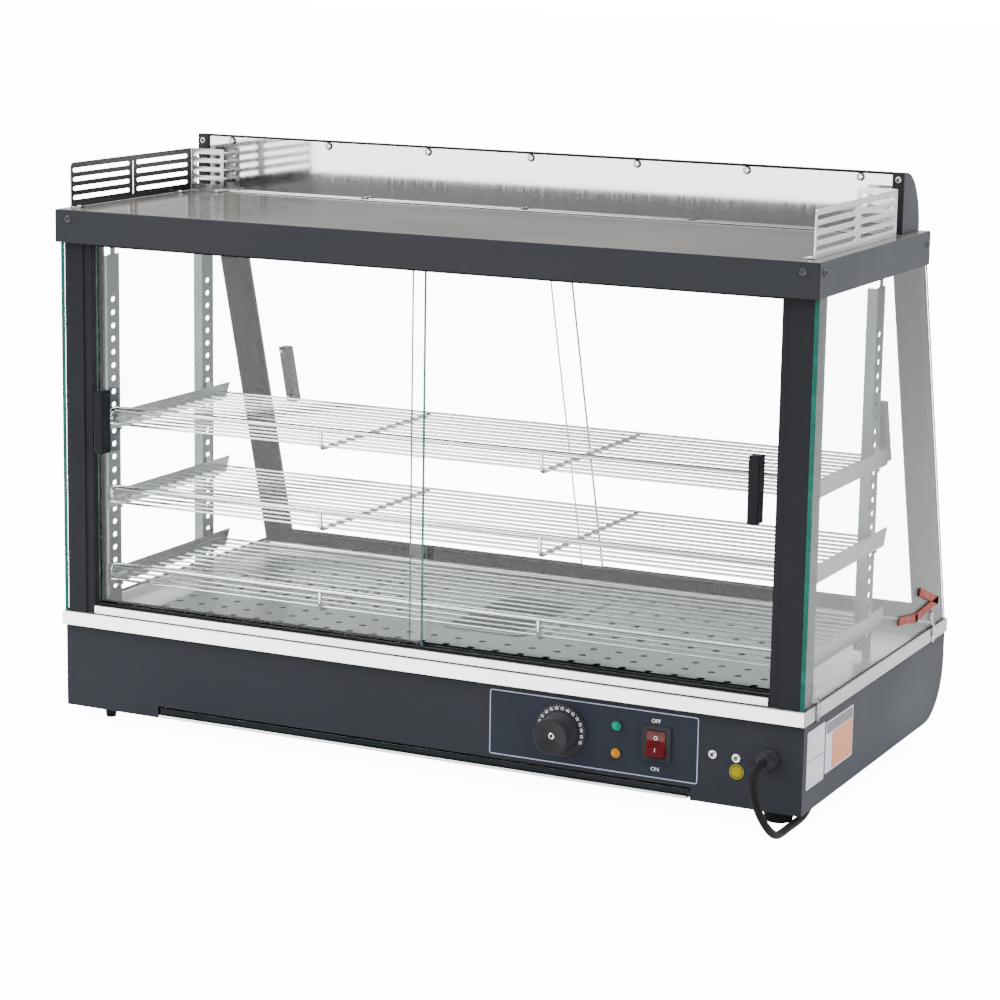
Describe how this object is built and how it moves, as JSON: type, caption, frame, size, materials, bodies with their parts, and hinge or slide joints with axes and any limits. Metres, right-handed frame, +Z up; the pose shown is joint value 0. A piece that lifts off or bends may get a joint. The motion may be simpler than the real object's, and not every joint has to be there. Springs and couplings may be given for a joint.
{
  "type": "heated display case",
  "caption": "Countertop heated display case: black base and hood, slanted glass customer side, sliding doors, wire shelves, water pan and crumb tray.",
  "frame": {"origin": "on the counter under the middle of the case, cord left out", "axes": "+X along the case to the operator's right, +Y from the operator's side to the customers' side, +Z up"},
  "size_m": [0.9, 0.6698, 0.6542],
  "materials": {
    "black_paint": "satin black paint",
    "stainless": "brushed",
    "chrome": "bright plated wire",
    "aluminium": "plain",
    "black_plastic": "satin",
    "clear_glass": "clear, green edges",
    "red_plastic": "gloss",
    "green_plastic": "gloss",
    "amber_plastic": "gloss",
    "white_ceramic": "matte ceramic",
    "black_rubber": "matte"
  },
  "bodies": {
    "case": {"base_front_panel": "black_paint", "base_side_left": "black_paint", "base_side_right": "black_paint", "base_rear_panel": "black_paint", "base_bottom_plate": "black_paint", "top_cover": "black_paint", "ceiling_panel": "black_paint", "post_front_left": "black_paint", "post_front_right": "black_paint", "post_rear_left": "black_paint", "post_rear_right": "black_paint", "header_shell": "black_paint", "deck_plate": "stainless", "heat_shield": "stainless", "heating_element_left": "stainless", "heating_element_right": "stainless", "front_sill": "stainless", "shelf_standard_front_left": "stainless", "shelf_standard_front_right": "stainless", "shelf_standard_rear_left": "stainless", "shelf_standard_rear_right": "stainless", "gallery_rail_left": "stainless", "gallery_rail_right": "stainless", "backsplash": "stainless", "thermostat_probe": "chrome", "thermostat_body": "aluminium", "switch_housing": "black_plastic", "cable_gland": "black_plastic", "front_track_lower": "black_plastic", "front_track_upper": "black_plastic", "rear_track_lower": "black_plastic", "rear_track_upper": "black_plastic", "side_glass_left": "clear_glass", "side_glass_right": "clear_glass", "power_lamp": "green_plastic", "heat_lamp": "amber_plastic", "terminal_block": "white_ceramic", "foot_front_left": "black_rubber", "foot_front_right": "black_rubber", "foot_rear_left": "black_rubber", "foot_rear_right": "black_rubber", "power_cord_tube": "black_rubber", "power_cord_coil": "black_rubber", "power_plug": "black_rubber"},
    "operator_door_left_body": {"operator_door_left": "clear_glass", "operator_handle_left": "black_plastic"},
    "operator_door_right_body": {"operator_door_right": "clear_glass", "operator_handle_right": "black_plastic"},
    "customer_door_left_body": {"customer_door_left": "clear_glass", "customer_handle_left": "black_plastic"},
    "customer_door_right_body": {"customer_door_right": "clear_glass", "customer_handle_right": "black_plastic"},
    "thermostat_knob_body": {"thermostat_knob": "black_plastic"},
    "switch_rocker_body": {"switch_rocker": "red_plastic"},
    "crumb_tray_body": {"crumb_tray": "stainless"},
    "shelf_1_body": {"shelf_1": "chrome"},
    "shelf_2_body": {"shelf_2": "chrome"},
    "shelf_3_body": {"shelf_3": "chrome"},
    "perforated_floor_body": {"perforated_floor": "stainless"},
    "water_pan_body": {"water_pan": "stainless"}
  },
  "joints": [
    {"name": "operator_door_left_slide", "type": "slide", "parent": "case", "child": "operator_door_left_body", "axis": [1, 0, 0], "range_m": [0, 0.37]},
    {"name": "operator_door_right_slide", "type": "slide", "parent": "case", "child": "operator_door_right_body", "axis": [1, 0, 0], "range_m": [-0.37, 0]},
    {"name": "customer_door_left_slide", "type": "slide", "parent": "case", "child": "customer_door_left_body", "axis": [1, 0, 0], "range_m": [0, 0.355]},
    {"name": "customer_door_right_slide", "type": "slide", "parent": "case", "child": "customer_door_right_body", "axis": [1, 0, 0], "range_m": [-0.355, 0]},
    {"name": "thermostat_knob_turn", "type": "hinge", "parent": "case", "child": "thermostat_knob_body", "pos_m": [0.1775, -0.22205, 0.073], "axis": [0, 1, 0], "range_deg": [0, 270]},
    {"name": "switch_rocker_tip", "type": "hinge", "parent": "case", "child": "switch_rocker_body", "pos_m": [0.2867, -0.22335, 0.0735], "axis": [1, 0, 0], "range_deg": [0, 22]},
    {"name": "crumb_tray_slide", "type": "slide", "parent": "case", "child": "crumb_tray_body", "axis": [0, -1, 0], "range_m": [0, 0.3]},
    {"name": "shelf_1_lift", "type": "slide", "parent": "case", "child": "shelf_1_body", "axis": [0, 0, 1], "range_m": [0, 0.03]},
    {"name": "shelf_2_lift", "type": "slide", "parent": "case", "child": "shelf_2_body", "axis": [0, 0, 1], "range_m": [0, 0.03]},
    {"name": "shelf_3_lift", "type": "slide", "parent": "case", "child": "shelf_3_body", "axis": [0, 0, 1], "range_m": [0, 0.03]},
    {"name": "perforated_floor_lift", "type": "slide", "parent": "case", "child": "perforated_floor_body", "axis": [0, 0, 1], "range_m": [0, 0.02]},
    {"name": "water_pan_lift", "type": "slide", "parent": "perforated_floor_body", "child": "water_pan_body", "axis": [0, 0, 1], "range_m": [0, 0.02]}
  ]
}
